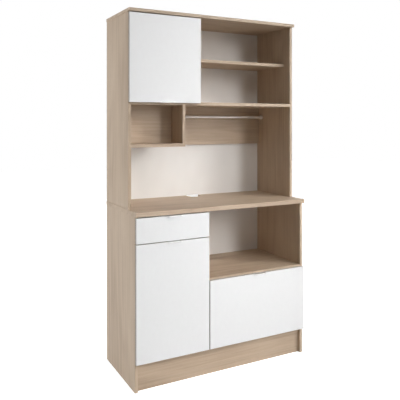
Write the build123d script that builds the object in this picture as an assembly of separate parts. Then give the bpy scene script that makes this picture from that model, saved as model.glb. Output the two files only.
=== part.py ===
from build123d import *
import math
import os

# Carcass sizes, in mm. The working frame has x from the left outer face, y from the front edges of
# the base and z from the floor.
width = 1000
depth = 424
board = 16
worktop_thick = 22
back_thick = 3
glide_height = 3
worktop_height = 864.5
full_height = 1856.5
cover_overhang = 2
hutch_setback = 92
plinth_height = 132
plinth_setback = 17
left_bay_width = 374
niche_height = 344.5
middle_shelf_height = 1383
open_shelf_height = 1617.5
open_shelf_setback = 58
cubby_width = 282
cubby_height = 198.5
cubby_depth = 140
back_rail_height = 220.2
cable_notch_width = 80
cable_notch_depth = 65
cable_notch_middle = 522
shelf_setback = 22
shelf_play = 1

# Fronts
front_thick = 16
front_gap = 1
side_reveal = 1
edge_reveal = 5.5
upper_door_reveal = 10.8
top_reveal = 5
flap_top_overlap = 6.5
drawer_front_height = 122.75
drawer_door_gap = 4

# Folded edge pulls
pull_length = 64
pull_sheet = 1.5
pull_reach = 18
pull_lip = 6
pull_leg = 20
pull_bend = 2
pull_screw_drop = 12
pull_screw_pitch = 48

# Cup hinges. Distances "in" run from the hinged edge of the front, "back" from the carcass front edges.
cup_diameter = 26
cup_depth = 11.5
cup_wall = 0.8
cup_edge_distance = 3
cup_axis_in = 6.7
cup_axis_deep = 6.2
cup_pin_radius = 0.9
arm_axis_in = 32.6
arm_axis_back = 3.15
arm_pin_radius = 1.5
arm_cheek = 1.6
arm_foot_in = 22
arm_length = 64
arm_height = 11
arm_nose_radius = 3.4
arm_neck_back = 14
arm_fork_back = 18
arm_belly_back = 20
arm_belly_rise = 5
arm_slope_back = 40
arm_screw_back = 52
arm_screw_radius = 2
arm_screw_head_radius = 4
arm_screw_head_height = 2
link_width = 8
link_thick = 2
link_eye_wall = 0.8
link_bends = [(6.1, -2.9), (10.9, -1.0), (12.5, 7.4)]
pin_play = 0.08
side_play = 0.4
flange_thick = 1
flange_length = 44
flange_width = 10
flange_offset = 3
plate_back = 26
plate_wing = 2.5
plate_wing_length = 48
plate_wing_width = 10
plate_screw_back = 37
plate_screw_pitch = 32
cup_screw_pitch = 34
hinge_inset = 80
flap_hinge_inset = 100

# Flap stays: a slotted arm pivots on the flap and slides on a pin on the cabinet wall.
stay_pivot_in = 179
stay_pivot_back = 6
stay_pin_in = 150.79
stay_pin_back = 89.19
stay_length = 314
stay_slot_start = 84
stay_slot_end = 306
stay_thick = 2
stay_half_width = 6
stay_pin_radius = 3
stay_pivot_radius = 2.5
stay_wall_gap = 2.5
stay_shoulder_rim = 4
stay_head_rim = 2.5
stay_head_thick = 1.5
stay_stud_depth = 10
stay_stud_radius = 2.5
bracket_sheet = 2
bracket_foot = 16
bracket_height = 20
bracket_ear_rim = 5
bracket_cap_rim = 1.5
bracket_cap_thick = 0.8
bracket_screw_inset = 11
bracket_screw_pitch = 11

# Drawer and its roller runners
runner_gap = 12.5
drawer_side_thick = 12
drawer_side_height = 80
drawer_length = 350
drawer_lift = 14
drawer_bottom_thick = 3
drawer_groove_height = 10
drawer_groove_depth = 6
runner_sheet = 1.2
roller_radius = 9.5
roller_width = 7
roller_gap = 0.3
roller_inset = 12
axle_radius = 2
axle_rim = 1.5
axle_cap = 0.8
runner_flange = 8
runner_rise = 21
runner_drop = 7
runner_height = 34
runner_start = 2
runner_foot = 9
runner_screw_start = 37
runner_screw_pitch = 128
side_screw_height = 6
side_screw_start = 40
side_screw_pitch = 240
drawer_dowel_radius = 3
drawer_dowel_low = 30
drawer_dowel_high = 65
drawer_dowel_depth = 14
back_dowel_length = 18
back_dowel_inset = 3

# Utensil rail
rail_diameter = 16
rail_drop = 57.6
rail_back_distance = 48
socket_diameter = 24
socket_length = 10
socket_floor = 2

# Small fittings
dowel_radius = 4
dowel_in_face = 10
dowel_in_end = 20
cam_radius = 7.5
cam_depth = 12.5
cam_distance = 24
cam_slot_length = 10.5
cam_slot_width = 1.4
cam_slot_depth = 1.5
bolt_radius = 3
bolt_neck_radius = 2
bolt_in_face = 9
bolt_neck_length = 2
dowel_spacing = 32
fitting_inset = 60
narrow_fitting_inset = 28
screw_radius = 1.75
screw_head_radius = 3.5
screw_head_depth = 2
screw_slot_length = 4.55
screw_slot_width = 0.8
screw_slot_depth = 0.8
front_screw_length = 11
carcass_screw_length = 14
runner_screw_length = 12
nail_radius = 0.8
nail_length = 15
base_nail_steps = 5
hutch_nail_pitch = 119
hutch_nail_inset = 12
rail_nail_drop = 30.5
rail_nail_past_dowel = 10.7
shelf_pin_radius = 2.5
shelf_pin_depth = 8
shelf_pin_inset = 60
shelf_pin_pitch = 32
shelf_pin_shoulder = 1
shelf_pin_reach = 6
shelf_ledge_size = 8
shelf_ledge_thick = 2
glide_length = 40
glide_width = 12
glide_inset = 20

# Derived planes of the carcass
base_top = worktop_height - worktop_thick
hutch_top = full_height - board
inner_left = board
inner_right = width - board
divider_left = board + left_bay_width
divider_right = divider_left + board
plinth_top = glide_height + plinth_height
floor_top = plinth_top + board
niche_floor_top = base_top - niche_height
niche_floor_bottom = niche_floor_top - board
middle_top = middle_shelf_height + board
cubby_right = board + cubby_width
cubby_floor_top = middle_shelf_height - cubby_height
cubby_floor_bottom = cubby_floor_top - board
cubby_back_front = hutch_setback + cubby_depth
cubby_back_rear = cubby_back_front + board
back_rail_bottom = middle_shelf_height - back_rail_height
cover_front = -(front_gap + front_thick + cover_overhang)
back_face = depth + back_thick
front_face = -(front_gap + front_thick)
front_right_edge = divider_left + edge_reveal
flap_left_edge = divider_right - edge_reveal
flap_right_edge = width - side_reveal
low_fronts_bottom = plinth_top + edge_reveal
flap_top = niche_floor_bottom + flap_top_overlap
drawer_front_top = base_top - top_reveal
drawer_front_bottom = drawer_front_top - drawer_front_height
lower_door_top = drawer_front_bottom - drawer_door_gap
upper_door_bottom = middle_shelf_height + upper_door_reveal
upper_door_top = hutch_top - top_reveal
cupboard_shelf_height = (floor_top + lower_door_top - board) / 2
cabinet_shelf_height = (middle_top + hutch_top - board) / 2
rail_height = middle_shelf_height - rail_drop

# Derived places of the hinges, stays, drawer and runners
flange_middle = cup_edge_distance + cup_diameter / 2 + flange_offset
arm_half_width = link_width / 2 + side_play + arm_cheek
arm_top_in = arm_foot_in + arm_height
shelf_pin_drop = shelf_pin_radius + shelf_pin_shoulder
bracket_gap = stay_wall_gap + stay_thick + side_play
drawer_left = inner_left + runner_gap
drawer_right = divider_left - runner_gap
drawer_low = drawer_front_bottom + drawer_lift
drawer_rear = drawer_length - front_gap
drawer_bottom_low = drawer_low + drawer_groove_height
cabinet_runner_low = drawer_low - runner_drop
cabinet_axle_height = drawer_low - runner_sheet + runner_rise - roller_gap - roller_radius
drawer_axle_height = cabinet_runner_low + runner_sheet + roller_gap + roller_radius

# The finished frame stands on the middle of the outline of the whole object.
frame_shift = Pos(-width / 2, -(back_face + front_face - pull_reach) / 2, 0)

X = Vector(1, 0, 0)
Y = Vector(0, 1, 0)
Z = Vector(0, 0, 1)


def block(x0, x1, y0, y1, z0, z1):
    """A box between two corners."""
    size = Box(x1 - x0, y1 - y0, z1 - z0, align=(Align.MIN, Align.MIN, Align.MIN))
    return Pos(x0, y0, z0) * size


def rod(start, direction, radius, length):
    """A cylinder from a start point along a direction."""
    solid = Cylinder(radius, length, align=(Align.CENTER, Align.CENTER, Align.MIN))
    return Plane(origin=start, z_dir=direction) * solid


def near(a, b):
    """Whether the boxes around two solids meet."""
    p = a.bounding_box()
    q = b.bounding_box()
    return (
        p.min.X < q.max.X and q.min.X < p.max.X
        and p.min.Y < q.max.Y and q.min.Y < p.max.Y
        and p.min.Z < q.max.Z and q.min.Z < p.max.Z
    )


def drilled(solid, fittings):
    """A solid with the holes of all the fittings that reach into it."""
    tools = [f for f in fittings if near(solid, f)]
    return solid - tools if tools else solid


def bar(start, end, half_width):
    """A flat round-ended bar between two points of the drawing plane."""
    dx = end[0] - start[0]
    dy = end[1] - start[1]
    middle = Pos((start[0] + end[0]) / 2, (start[1] + end[1]) / 2)
    turn = Rot(0, 0, math.degrees(math.atan2(dy, dx)))
    return middle * turn * SlotCenterToCenter(math.hypot(dx, dy), 2 * half_width)


def thick(sketch, low, high):
    """A drawing given thickness between two levels of its own axis."""
    return Pos(0, 0, low) * extrude(sketch, amount=high - low)


def screw_hole(head, direction, length):
    """The countersunk hole of a chipboard screw whose head is flush at the given point."""
    shank = rod(head, direction, screw_radius, length)
    low_end = (Align.CENTER, Align.CENTER, Align.MIN)
    cone = Cone(screw_head_radius, screw_radius, screw_head_depth, align=low_end)
    return shank + Plane(origin=head, z_dir=direction) * cone


def screw_holes(spots):
    """The holes of several screws, each given by head, direction and length."""
    return [screw_hole(*spot) for spot in spots]


def screws(spots):
    """Several chipboard screws, each with a cross slot in its head."""
    slot = Box(screw_slot_length, screw_slot_width, 2 * screw_slot_depth)
    made = []
    for spot in spots:
        top = Plane(origin=spot[0], z_dir=spot[1])
        made.append(screw_hole(*spot) - top * slot - top * Rot(0, 0, 90) * slot)
    return made


def dowel(point, into):
    """A wooden dowel across the joint at a point, longer on the end-grain side."""
    return rod(point - into * dowel_in_face, into, dowel_radius, dowel_in_face + dowel_in_end)


def cam_bolt(point, into):
    """A cam bolt: threaded part in the face board, thin neck that the cam pulls on."""
    shoulder = cam_distance - cam_radius - bolt_neck_length
    thread = rod(point - into * bolt_in_face, into, bolt_radius, bolt_in_face + shoulder)
    neck = rod(point + into * shoulder, into, bolt_neck_radius, bolt_neck_length + cam_radius)
    return thread + neck


def cam_hole(point, into, open_side):
    """The round pocket of a cam lock, open towards the given side of the board."""
    face = point + into * cam_distance + open_side * (board / 2)
    return rod(face, open_side * -1, cam_radius, cam_depth)


def cam_lock(point, into, open_side):
    """A cam lock in its pocket, with a cross slot and a passage for the bolt."""
    face = point + into * cam_distance + open_side * (board / 2)
    top = Plane(origin=face, z_dir=open_side)
    slot = Box(cam_slot_length, cam_slot_width, 2 * cam_slot_depth)
    lock = cam_hole(point, into, open_side) - cam_bolt(point, into)
    return lock - top * slot - top * Rot(0, 0, 90) * slot


# Joints of the carcass


def end_joint(point, into, open_side, along, span):
    """Fittings near both ends of one board end: dowels, and places of cam bolts with their locks."""
    dowels = []
    cams = []
    for inset, inward in ((fitting_inset, 1), (span - fitting_inset, -1)):
        spot = point + along * inset
        dowels.append(dowel(spot + along * (inward * dowel_spacing), into))
        if open_side is not None:
            cams.append((spot, into, open_side))
        else:
            dowels.append(dowel(spot, into))
    return dowels, cams


def narrow_joint(point, into, open_side, along, span):
    """Fittings of a short board end: two dowels, and the place of one cam bolt between them."""
    spots = [point + along * inset for inset in (narrow_fitting_inset, span - narrow_fitting_inset)]
    cams = [] if open_side is None else [(point + along * (span / 2), into, open_side)]
    return [dowel(spot, into) for spot in spots], cams


def carcass_joints():
    """Every dowel of the carcass and every place of a cam bolt with its lock."""
    half = board / 2
    mid_floor = (plinth_top + floor_top) / 2
    mid_niche = (niche_floor_bottom + niche_floor_top) / 2
    mid_middle = (middle_shelf_height + middle_top) / 2
    mid_cubby = (cubby_floor_bottom + cubby_floor_top) / 2
    mid_open = open_shelf_height + half
    mid_divider = (divider_left + divider_right) / 2
    hutch_depth = depth - hutch_setback
    open_front = hutch_setback + open_shelf_setback
    open_depth = depth - open_front
    cubby_span = cubby_back_rear - hutch_setback
    rail_mid = depth - half
    down = Z * -1
    left = X * -1
    ends = [
        (Vector(inner_left, 0, mid_floor), X, down, Y, depth),
        (Vector(inner_right, 0, mid_floor), left, down, Y, depth),
        (Vector(divider_right, 0, mid_niche), X, down, Y, depth),
        (Vector(inner_right, 0, mid_niche), left, down, Y, depth),
        (Vector(mid_divider, 0, floor_top), Z, None, Y, depth),
        (Vector(half, hutch_setback, base_top), down, None, Y, hutch_depth),
        (Vector(mid_divider, 0, base_top), down, X, Y, depth),
        (Vector(width - half, hutch_setback, base_top), down, None, Y, hutch_depth),
        (Vector(half, hutch_setback, worktop_height), Z, None, Y, hutch_depth),
        (Vector(width - half, hutch_setback, worktop_height), Z, None, Y, hutch_depth),
        (Vector(half, hutch_setback, hutch_top), down, X, Y, hutch_depth),
        (Vector(width - half, hutch_setback, hutch_top), down, None, Y, hutch_depth),
        (Vector(inner_left, hutch_setback, mid_middle), X, Z, Y, hutch_depth),
        (Vector(inner_right, hutch_setback, mid_middle), left, Z, Y, hutch_depth),
        (Vector(mid_divider, hutch_setback, middle_top), Z, None, Y, hutch_depth),
        (Vector(mid_divider, hutch_setback, hutch_top), down, X, Y, hutch_depth),
        (Vector(divider_right, open_front, mid_open), X, Z, Y, open_depth),
        (Vector(inner_right, open_front, mid_open), left, Z, Y, open_depth),
        (Vector(inner_left, rail_mid, back_rail_bottom), X, None, Z, back_rail_height),
        (Vector(inner_right, rail_mid, back_rail_bottom), left, None, Z, back_rail_height),
        (Vector(inner_left, plinth_setback + half, glide_height), X, None, Z, plinth_height),
        (Vector(inner_right, plinth_setback + half, glide_height), left, None, Z, plinth_height),
    ]
    narrow_ends = [
        (Vector(inner_left, hutch_setback, mid_cubby), X, down, Y, cubby_span),
        (Vector(cubby_right, hutch_setback, mid_cubby), left, down, Y, cubby_span),
        (Vector(cubby_right + half, hutch_setback, middle_shelf_height), down, X, Y, cubby_span),
        (Vector(inner_left, cubby_back_rear - half, cubby_floor_top), X, None, Z, cubby_height),
        (Vector(cubby_right, cubby_back_rear - half, cubby_floor_top), left, None, Z, cubby_height),
    ]
    joints = [end_joint(*end) for end in ends] + [narrow_joint(*end) for end in narrow_ends]
    return [d for dowels, cams in joints for d in dowels], [c for dowels, cams in joints for c in cams]


def shelf_pin(x, y, shelf_bottom, inward):
    """A shelf pin in a side hole with a small ledge that the shelf lies on."""
    stem = rod(Vector(x - inward * shelf_pin_depth, y, shelf_bottom - shelf_pin_drop), X * inward,
               shelf_pin_radius, shelf_pin_depth + shelf_pin_reach)
    ledge_middle = Pos(x + inward * shelf_ledge_size / 2, y, shelf_bottom - shelf_ledge_thick / 2)
    return stem + ledge_middle * Box(shelf_ledge_size, shelf_ledge_size, shelf_ledge_thick)


def shelf_pins(x0, x1, y0, y1, shelf_bottom):
    """The four pins under one loose shelf."""
    return [
        shelf_pin(x, y, shelf_bottom, inward)
        for x, inward in ((x0, 1), (x1, -1))
        for y in (y0 + shelf_pin_inset, y1 - shelf_pin_inset)
    ]


def spare_holes(x0, x1, y0, y1, shelf_bottom):
    """Spare holes above and below each shelf pin, for other shelf heights."""
    height = shelf_bottom - shelf_pin_drop
    return [
        rod(Vector(x - inward * shelf_pin_depth, y, height + step * shelf_pin_pitch), X * inward,
            shelf_pin_radius, shelf_pin_depth)
        for x, inward in ((x0, 1), (x1, -1))
        for y in (y0 + shelf_pin_inset, y1 - shelf_pin_inset)
        for step in (-2, -1, 1, 2)
    ]


# Cup hinges, drawn with u from the hinged edge, v towards the back and w along the hinge axis


def hinge_link():
    """The goose-neck link between the axle of the arm and the pin in the cup."""
    cup_axis = (cup_axis_in, -front_gap - cup_axis_deep)
    arm_axis = (arm_axis_in, arm_axis_back)
    bends = [(cup_axis[0] + du, cup_axis[1] + dv) for du, dv in link_bends]
    route = [cup_axis, *bends, arm_axis]
    flat = Pos(*cup_axis) * Circle(cup_pin_radius + link_eye_wall)
    flat += Pos(*arm_axis) * Circle(2 * arm_pin_radius)
    for start, end in zip(route, route[1:]):
        flat += bar(start, end, link_thick / 2)
    flat -= Pos(*cup_axis) * Circle(cup_pin_radius + pin_play)
    flat -= Pos(*arm_axis) * Circle(arm_pin_radius + pin_play)
    return thick(flat, -link_width / 2, link_width / 2)


def cup_outline(radius, deep):
    """The round pot of the cup, let into the rear face of the front."""
    middle = Vector(cup_edge_distance + cup_diameter / 2, -front_gap, 0)
    return rod(middle, Y * -1, radius, deep)


def flange_outline():
    """The flat flange of the cup, let in flush with the rear face."""
    return block(flange_middle - flange_width / 2, flange_middle + flange_width / 2,
                 -front_gap - flange_thick, -front_gap, -flange_length / 2, flange_length / 2)


def hinge_cup():
    """The pressed cup with its flange and the pin of the link."""
    pot = cup_outline(cup_diameter / 2, cup_depth) + flange_outline()
    pot -= cup_outline(cup_diameter / 2 - cup_wall, cup_depth - cup_wall)
    pin_end = Vector(cup_axis_in, -front_gap - cup_axis_deep, -cup_diameter / 2)
    pin = rod(pin_end, Z, cup_pin_radius, cup_diameter)
    pot += pin & cup_outline(cup_diameter / 2 - cup_wall / 2, cup_depth)
    return drilled(pot, screw_holes(cup_screws()))


def cup_screws():
    """The places of the two screws of the cup flange."""
    return [
        (Vector(flange_middle, -front_gap, side * cup_screw_pitch / 2), Y * -1, front_screw_length)
        for side in (-1, 1)
    ]


def hinge_arm(mount_in):
    """The arm with a forked front end that holds the axle of the link."""
    nose_low = arm_axis_in - arm_nose_radius
    nose_high = arm_axis_in + arm_nose_radius
    profile = Polyline(
        (nose_low, arm_axis_back), (nose_high, arm_axis_back), (nose_high, arm_neck_back),
        (arm_top_in, arm_slope_back), (arm_top_in, arm_length), (arm_foot_in, arm_length),
        (arm_foot_in, plate_back), (arm_foot_in + arm_belly_rise, arm_belly_back), close=True,
    )
    flat = make_face(profile) + Pos(arm_axis_in, arm_axis_back) * Circle(arm_nose_radius)
    inner = arm_half_width - arm_cheek
    arm = thick(flat, -arm_half_width, arm_half_width)
    arm -= block(arm_foot_in, nose_high, arm_axis_back - arm_nose_radius, arm_fork_back, -inner, inner)
    axle_end = Vector(arm_axis_in, arm_axis_back, -arm_half_width)
    axle = rod(axle_end, Z, arm_pin_radius, 2 * arm_half_width)
    return drilled(arm + axle, [arm_screw(mount_in)])


def hinge_plate(mount_in):
    """The mounting plate under the arm, screwed to the carcass board."""
    foot = block(mount_in, arm_foot_in, plate_back, arm_length, -arm_half_width, arm_half_width)
    wing = block(mount_in, mount_in + plate_wing, plate_screw_back - plate_wing_width / 2,
                 plate_screw_back + plate_wing_width / 2, -plate_wing_length / 2, plate_wing_length / 2)
    return drilled(foot + wing, [*screw_holes(plate_screws(mount_in)), arm_screw(mount_in)])


def plate_screws(mount_in):
    """The places of the two screws of a mounting plate."""
    return [
        (Vector(mount_in + plate_wing, plate_screw_back, side * plate_screw_pitch / 2), X * -1,
         carcass_screw_length)
        for side in (-1, 1)
    ]


def arm_screw(mount_in):
    """The machine screw that clamps the arm on its plate."""
    start = mount_in + plate_wing
    head = rod(Vector(arm_top_in, arm_screw_back, 0), X, arm_screw_head_radius, arm_screw_head_height)
    slot_middle = Pos(arm_top_in + arm_screw_head_height, arm_screw_back, 0)
    head -= slot_middle * Box(2 * screw_slot_depth, screw_slot_length, screw_slot_width)
    return head + rod(Vector(start, arm_screw_back, 0), X, arm_screw_radius, arm_top_in - start)


def hinges(places, mount_in):
    """The pieces of several hinges on one front, each as a list."""
    pocket = cup_outline(cup_diameter / 2, cup_depth) + flange_outline()
    kinds = {
        "link": [hinge_link()],
        "cup": [hinge_cup()],
        "housing": [pocket, *screw_holes(cup_screws())],
        "cup_screws": screws(cup_screws()),
        "plate_screws": screws(plate_screws(mount_in)),
        "plate_holes": screw_holes(plate_screws(mount_in)),
        "arm_screw": [arm_screw(mount_in)],
        "arm": [hinge_arm(mount_in)],
        "plate": [hinge_plate(mount_in)],
    }
    return {
        name: [place * solid for place in places for solid in solids]
        for name, solids in kinds.items()
    }


def side_hinge_places(front_y, bottom, top):
    """Where the hinges of a side-hung door sit."""
    return [
        Plane(origin=(side_reveal, front_y, z), x_dir=(1, 0, 0), z_dir=(0, 0, 1))
        for z in (bottom + hinge_inset, top - hinge_inset)
    ]


def flap_hinge_places():
    """Where the hinges of the flap sit, lying along its bottom edge."""
    return [
        Plane(origin=(x, 0, low_fronts_bottom), x_dir=(0, 0, 1), z_dir=(-1, 0, 0))
        for x in (flap_left_edge + flap_hinge_inset, flap_right_edge - flap_hinge_inset)
    ]


# Fronts and their pulls


def edge_pull(middle, front_y, edge, up):
    """A folded sheet pull over one edge of a front; up is 1 on a top edge and -1 on a bottom edge."""
    rear = front_y - front_gap - pull_sheet / 2
    lip = front_y - front_gap - front_thick - pull_reach + pull_sheet / 2
    over = edge + up * pull_sheet / 2
    path = FilletPolyline(
        (rear, edge - up * pull_leg), (rear, over), (lip, over), (lip, edge + up * (pull_sheet - pull_lip)),
        radius=pull_bend,
    )
    sheet = trace(path, line_width=pull_sheet)
    plane = Plane(origin=(middle - pull_length / 2, 0, 0), x_dir=(0, 1, 0), z_dir=(1, 0, 0))
    return plane * extrude(sheet, amount=pull_length)


def pull_screws(middle, front_y, edge, up):
    """The places of the two screws in the hidden leg of a pull."""
    rear = front_y - front_gap
    height = edge - up * pull_screw_drop
    return [
        (Vector(middle + side * pull_screw_pitch / 2, rear, height), Y * -1, front_screw_length)
        for side in (-1, 1)
    ]


def front_board(x0, x1, z0, z1, front_y):
    """One flat front."""
    return block(x0, x1, front_y - front_gap - front_thick, front_y - front_gap, z0, z1)


def hung_front(x0, x1, z0, z1, front_y, pull_edge, up, hinge):
    """A hinged front with its pull and screws: (front, pull, screws)."""
    middle = (x0 + x1) / 2
    spots = pull_screws(middle, front_y, pull_edge, up)
    pull = edge_pull(middle, front_y, pull_edge, up)
    panel = front_board(x0, x1, z0, z1, front_y) - pull
    panel = drilled(panel, [*hinge["housing"], *screw_holes(spots)])
    return panel, drilled(pull, screw_holes(spots)), [*hinge["cup_screws"], *screws(spots)]


# Flap stays


def stay_angle():
    """The direction of the closed stay arm, in the plane of u and v."""
    return math.atan2(stay_pin_back - stay_pivot_back, stay_pin_in - stay_pivot_in)


def stay_arm():
    """The slotted arm, drawn in the plane of u and v."""
    angle = stay_angle()
    pivot = (stay_pivot_in, stay_pivot_back)

    def along(distance):
        return (pivot[0] + distance * math.cos(angle), pivot[1] + distance * math.sin(angle))

    flat = bar(pivot, along(stay_length), stay_half_width)
    flat -= bar(along(stay_slot_start), along(stay_slot_end), stay_pin_radius + pin_play)
    flat -= Pos(*pivot) * Circle(stay_pivot_radius + pin_play)
    return thick(flat, 0, stay_thick)


def stay_plane(x, z_dir):
    """The plane of u and v of the flap at a place along its length."""
    return Plane(origin=(x, 0, low_fronts_bottom), x_dir=(0, 0, 1), z_dir=(z_dir, 0, 0))


def stay_arms():
    """Both slotted arms, one beside each wall of the compartment."""
    return [
        stay_plane(x, -1) * stay_arm()
        for x in (divider_right + stay_wall_gap + stay_thick, inner_right - stay_wall_gap)
    ]


def stay_pin(wall, inward):
    """The shouldered pin on a wall that the slot of the arm slides on."""
    centre = Vector(wall, stay_pin_back, low_fronts_bottom + stay_pin_in)
    head_start = centre + X * (inward * bracket_gap)
    stud_end = centre - X * (inward * stay_stud_depth)
    shoulder = rod(centre, X * inward, stay_pin_radius + stay_shoulder_rim, stay_wall_gap - side_play)
    shaft = rod(centre, X * inward, stay_pin_radius, bracket_gap)
    head = rod(head_start, X * inward, stay_pin_radius + stay_head_rim, stay_head_thick)
    return shoulder + shaft + head + rod(stud_end, X * inward, stay_stud_radius, stay_stud_depth)


def stay_bracket(wall, inward):
    """The small angle on the flap that carries the pivot of a stay arm."""
    arm_face = wall + inward * bracket_gap
    ear_far = arm_face + inward * bracket_sheet
    foot_far = ear_far + inward * bracket_foot
    middle = low_fronts_bottom + stay_pivot_in
    low = middle - bracket_height / 2
    high = middle + bracket_height / 2
    foot_back = bracket_sheet - front_gap
    ear_back = stay_pivot_back + bracket_ear_rim
    ear = block(min(arm_face, ear_far), max(arm_face, ear_far), -front_gap, ear_back, low, high)
    foot = block(min(arm_face, foot_far), max(arm_face, foot_far), -front_gap, foot_back, low, high)
    start = Vector(ear_far, stay_pivot_back, middle)
    reach = bracket_sheet + stay_thick + 2 * side_play
    pivot = rod(start, X * -inward, stay_pivot_radius, reach)
    cap_start = start - X * (inward * reach)
    cap = rod(cap_start, X * -inward, stay_pivot_radius + bracket_cap_rim, bracket_cap_thick)
    return drilled(ear + foot + pivot + cap, screw_holes(stay_bracket_screws(wall, inward)))


def stay_bracket_screws(wall, inward):
    """The places of the two screws of a stay bracket."""
    x = wall + inward * (bracket_gap + bracket_screw_inset)
    z = low_fronts_bottom + stay_pivot_in
    return [
        (Vector(x, bracket_sheet - front_gap, z + side * bracket_screw_pitch / 2), Y * -1,
         front_screw_length + bracket_sheet)
        for side in (-1, 1)
    ]


# Drawer


def drawer_joints():
    """Dowels that hold the drawer sides to the front and the drawer back between the sides."""
    half = drawer_side_thick / 2
    dowels = []
    for x, inward in ((drawer_left + half, 1), (drawer_right - half, -1)):
        for rise in (drawer_dowel_low, drawer_dowel_high):
            z = drawer_low + rise
            front_end = Vector(x, -front_gap - dowel_in_face, z)
            side_end = Vector(x - inward * back_dowel_inset, drawer_rear - half, z)
            dowels.append(rod(front_end, Y, drawer_dowel_radius, dowel_in_face + drawer_dowel_depth))
            dowels.append(rod(side_end, X * inward, drawer_dowel_radius, back_dowel_length))
    return dowels


def drawer_side(outer, inward, fittings):
    """A drawer side with the groove of the bottom."""
    inner = outer + inward * drawer_side_thick
    side = block(min(outer, inner), max(outer, inner), -front_gap, drawer_rear,
                 drawer_low, drawer_low + drawer_side_height)
    start = inner - inward * drawer_groove_depth
    groove = block(min(start, inner), max(start, inner), -front_gap, drawer_rear - drawer_side_thick,
                   drawer_bottom_low, drawer_bottom_low + drawer_bottom_thick)
    return drilled(side - groove, fittings)


def drawer_back(fittings):
    """The drawer back, standing on the bottom."""
    panel = block(drawer_left + drawer_side_thick, drawer_right - drawer_side_thick,
                  drawer_rear - drawer_side_thick, drawer_rear,
                  drawer_bottom_low + drawer_bottom_thick, drawer_low + drawer_side_height)
    return drilled(panel, fittings)


def drawer_bottom():
    """The thin drawer bottom in the grooves of the sides and of the front."""
    inset = drawer_side_thick - drawer_groove_depth
    return block(drawer_left + inset, drawer_right - inset,
                 -front_gap - drawer_groove_depth, drawer_rear - drawer_side_thick,
                 drawer_bottom_low, drawer_bottom_low + drawer_bottom_thick)


def drawer_front(pull, fittings):
    """The drawer front with the groove of the bottom and its pull."""
    panel = front_board(side_reveal, front_right_edge, drawer_front_bottom, drawer_front_top, 0)
    return drilled(panel - pull - drawer_bottom(), fittings)


def roller(start, inward):
    """A nylon roller turning on an axle."""
    wheel = rod(start, X * inward, roller_radius, roller_width)
    return wheel - rod(start, X * inward, axle_radius + pin_play, roller_width)


def roller_axle(start, inward, reach):
    """The axle of a roller, with a riveted cap at its free end."""
    cap_start = start + X * (inward * reach)
    cap = rod(cap_start, X * inward, axle_radius + axle_rim, axle_cap)
    return rod(start, X * inward, axle_radius, reach) + cap


def strip(xa, xb, y_start, y_end, z_low, z_high):
    """A straight strip of runner sheet between two places across the buffet, given in either order."""
    return block(min(xa, xb), max(xa, xb), y_start, y_end, z_low, z_high)


def cabinet_runner(wall, inward):
    """The runner on the cabinet side with the axle of its front roller."""
    web_far = wall + inward * runner_sheet
    edge = web_far + inward * runner_flange
    low = cabinet_runner_low
    high = low + runner_height
    profile = strip(wall, web_far, runner_start, drawer_length, low, high)
    profile += strip(wall, edge, runner_start, drawer_length, low, low + runner_sheet)
    profile += strip(wall, edge, runner_start, drawer_length, high - runner_sheet, high)
    hub = Vector(web_far, roller_inset, cabinet_axle_height)
    profile += roller_axle(hub, inward, side_play * 3 + roller_width)
    return drilled(profile, screw_holes(cabinet_runner_screws()))


def drawer_runner(outer, inward):
    """The runner under a drawer side with the axle of its rear roller."""
    web_far = outer - inward * runner_sheet
    edge = web_far - inward * (runner_flange - side_play)
    low = drawer_low - runner_sheet
    high = drawer_low + runner_rise
    profile = strip(web_far, outer, 0, drawer_rear, low, high)
    profile += strip(web_far, outer + inward * runner_foot, 0, drawer_rear, low, drawer_low)
    profile += strip(outer, edge, 0, drawer_rear, high - runner_sheet, high)
    hub = Vector(web_far, drawer_rear - roller_inset, drawer_axle_height)
    profile += roller_axle(hub, -inward, side_play * 2 + roller_width)
    return drilled(profile, screw_holes(drawer_runner_screws()))


def cabinet_rollers():
    """The two rollers at the front of the cabinet runners."""
    rollers = []
    for wall, inward in ((inner_left, 1), (divider_left, -1)):
        hub = wall + inward * (runner_sheet + side_play * 1.5)
        rollers.append(roller(Vector(hub, roller_inset, cabinet_axle_height), inward))
    return rollers


def drawer_rollers():
    """The two rollers at the rear of the drawer runners."""
    rollers = []
    for outer, inward in ((drawer_left, 1), (drawer_right, -1)):
        hub = outer - inward * (runner_sheet + side_play)
        rollers.append(roller(Vector(hub, drawer_rear - roller_inset, drawer_axle_height), -inward))
    return rollers


def cabinet_runner_screws():
    """The places of the screws that hold the cabinet runners."""
    height = cabinet_runner_low + runner_height / 2
    return [
        (Vector(wall + inward * runner_sheet, runner_screw_start + step * runner_screw_pitch, height),
         X * -inward, runner_screw_length)
        for wall, inward in ((inner_left, 1), (divider_left, -1))
        for step in range(3)
    ]


def drawer_runner_screws():
    """The places of the screws that hold the drawer runners to the drawer sides."""
    return [
        (Vector(outer - inward * runner_sheet, side_screw_start + step * side_screw_pitch,
                drawer_low + side_screw_height), X * inward, front_screw_length)
        for outer, inward in ((drawer_left, 1), (drawer_right, -1))
        for step in range(2)
    ]


# Small groups


def rail_ends():
    """Inner faces that the utensil rail runs between."""
    return inner_left, inner_right


def rail_axis(x):
    """A point of the axis of the utensil rail."""
    return Vector(x, depth - rail_back_distance, rail_height)


def utensil_rail():
    """The round rail under the middle shelf, which runs behind the cubby from side to side."""
    start, end = rail_ends()
    return rod(rail_axis(start + socket_floor), X, rail_diameter / 2, end - start - 2 * socket_floor)


def rail_socket(wall, inward):
    """A socket that holds one end of the rail on a wall."""
    body = rod(rail_axis(wall), X * inward, socket_diameter / 2, socket_length)
    seat = rod(rail_axis(wall + inward * socket_floor), X * inward, rail_diameter / 2, socket_length)
    return drilled(body - seat, screw_holes(socket_screws()))


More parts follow.
